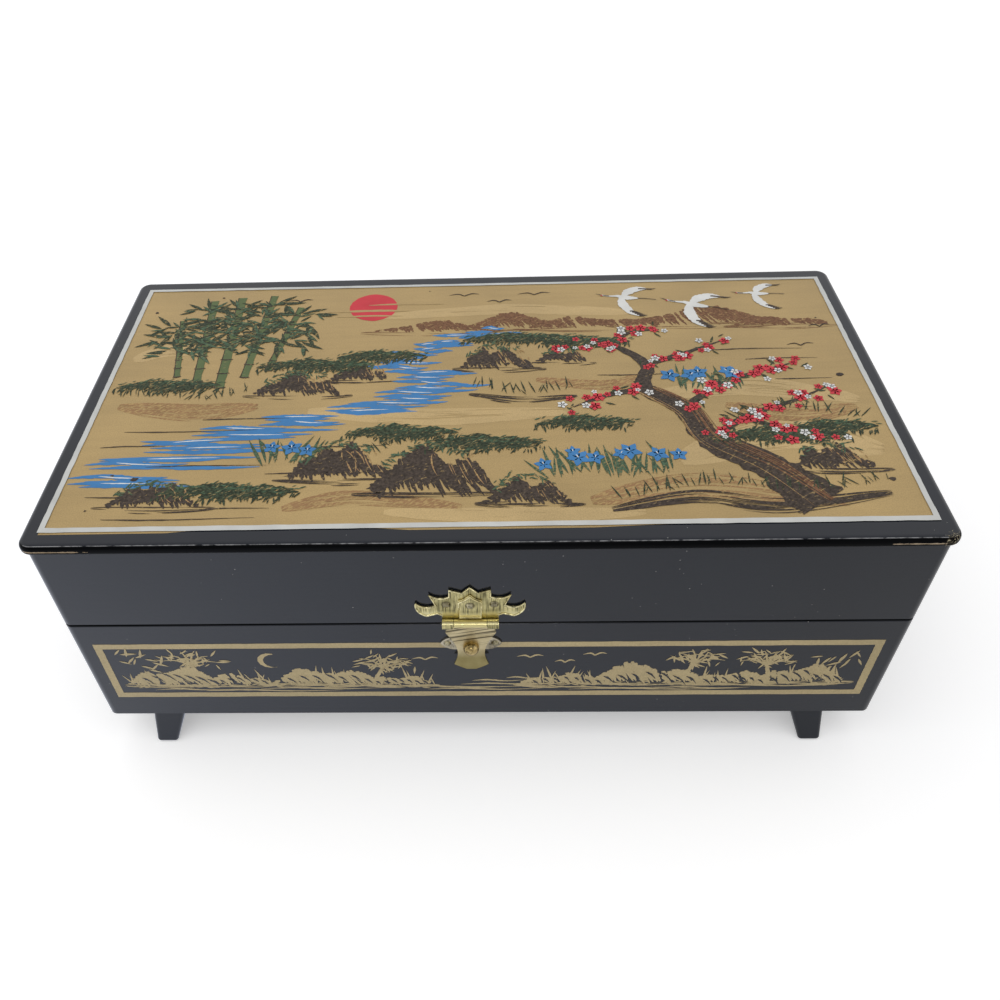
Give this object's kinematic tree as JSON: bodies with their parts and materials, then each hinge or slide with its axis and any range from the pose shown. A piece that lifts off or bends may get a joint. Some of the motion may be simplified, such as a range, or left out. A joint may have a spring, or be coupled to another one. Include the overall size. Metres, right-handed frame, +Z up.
{
  "type": "wind-up music box",
  "caption": "Lacquered wooden music box on splayed feet, with a hinged mirror lid, brass hasp, velvet-lined bays, and a comb-and-cylinder movement wound by a key underneath.",
  "frame": {"origin": "middle of the footprint, on the surface that the feet stand on", "axes": "+X to the right along the width, +Y to the rear hinges, +Z up; the hasp is on the -Y side"},
  "size_m": [0.283, 0.1574, 0.11],
  "materials": {
    "black_lacquer": "gloss black lacquer, worn at the corners",
    "painted_wood": "thin black stain on wood",
    "red_velvet": "short velvet pile",
    "hasp_brass": "stamped brass, brushed and a little tarnished",
    "train_brass": "turned brass",
    "bright_steel": "bright steel",
    "cast_metal": "plated casting",
    "mirror": "silvered glass",
    "clear_plastic": "clear sheet"
  },
  "bodies": {
    "case": {"back_wall": "black_lacquer", "bearing_posts": "train_brass", "bedplate": "cast_metal", "bottom_board": "painted_wood", "case_hinge_leaves": "hasp_brass", "case_nails": "hasp_brass", "comb": "bright_steel", "comb_screws": "bright_steel", "cover_battens": "painted_wood", "cover_screws": "bright_steel", "cross_partition": "painted_wood", "foot_back_left": "black_lacquer", "foot_back_right": "black_lacquer", "foot_front_left": "black_lacquer", "foot_front_right": "black_lacquer", "front_wall": "black_lacquer", "governor_frame": "train_brass", "governor_screws": "bright_steel", "hinge_pins": "hasp_brass", "jewel_floor_pad": "red_velvet", "jewel_wall_lining": "red_velvet", "keeper_plate": "hasp_brass", "left_wall": "black_lacquer", "movement_cover": "clear_plastic", "movement_screws": "bright_steel", "partition": "painted_wood", "right_wall": "black_lacquer", "ring_floor_pad": "red_velvet", "ring_wall_lining": "red_velvet", "stop_pivot": "bright_steel"},
    "lid": {"lid_top": "black_lacquer", "lid_front_wall": "black_lacquer", "lid_back_wall": "black_lacquer", "lid_left_wall": "black_lacquer", "lid_right_wall": "black_lacquer", "mirror_glass": "mirror", "mirror_frame": "black_lacquer", "lid_hinge_leaves": "hasp_brass", "hasp_plate": "hasp_brass", "hasp_pin": "hasp_brass", "lid_nails": "hasp_brass"},
    "hasp": {"hasp_flap": "hasp_brass", "hasp_knob": "hasp_brass"},
    "winder": {"winding_arbor": "bright_steel", "winding_key": "bright_steel"},
    "spring_barrel": {"barrel": "cast_metal", "barrel_cap": "cast_metal", "mainspring": "bright_steel"},
    "cylinder": {"music_cylinder": "train_brass", "cylinder_arbor": "bright_steel", "drive_pinion": "train_brass", "cylinder_wheel": "train_brass"},
    "second_wheel": {"second_pinion": "bright_steel", "worm_wheel": "train_brass"},
    "governor": {"governor_worm": "bright_steel", "governor_fan": "train_brass"},
    "stop": {"stop_wire": "bright_steel"}
  },
  "joints": [
    {"name": "lid_hinge", "type": "hinge", "parent": "case", "child": "lid", "pos_m": [0, 0.0765, 0.06995], "axis": [-1, 0, 0], "range_deg": [0, 100]},
    {"name": "hasp_hinge", "type": "hinge", "parent": "lid", "child": "hasp", "pos_m": [-0.004, -0.0761, 0.0723], "axis": [-1, 0, 0], "range_deg": [0, 140]},
    {"name": "winding_turn", "type": "hinge", "parent": "case", "child": "winder", "pos_m": [0.08654, 0.03934, 0.0164], "axis": [0, 0, 1], "continuous": true},
    {"name": "cylinder_turn", "type": "hinge", "parent": "case", "child": "cylinder", "pos_m": [0.11173, 0.03934, 0.03434], "axis": [1, 0, 0], "continuous": true},
    {"name": "barrel_turn", "type": "hinge", "parent": "case", "child": "spring_barrel", "pos_m": [0.08654, 0.03934, 0.03434], "axis": [0, 0, 1], "continuous": true},
    {"name": "second_wheel_turn", "type": "hinge", "parent": "case", "child": "second_wheel", "pos_m": [0.12278, 0.04932, 0.03434], "axis": [1, 0, 0], "continuous": true},
    {"name": "governor_turn", "type": "hinge", "parent": "case", "child": "governor", "pos_m": [0.12278, 0.0558, 0.03434], "axis": [0, 0, 1], "continuous": true},
    {"name": "stop_lift", "type": "hinge", "parent": "case", "child": "stop", "pos_m": [0.12558, 0.0254, 0.04464], "axis": [1, 0, 0], "range_deg": [0, 4.5]}
  ],
  "couplings": [
    {"joint": "barrel_turn", "follows": "cylinder_turn", "ratio": 0.33333},
    {"joint": "second_wheel_turn", "follows": "cylinder_turn", "ratio": -4.5},
    {"joint": "governor_turn", "follows": "cylinder_turn", "ratio": 108},
    {"joint": "stop_lift", "follows": "lid_hinge", "ratio": 0.045}
  ]
}
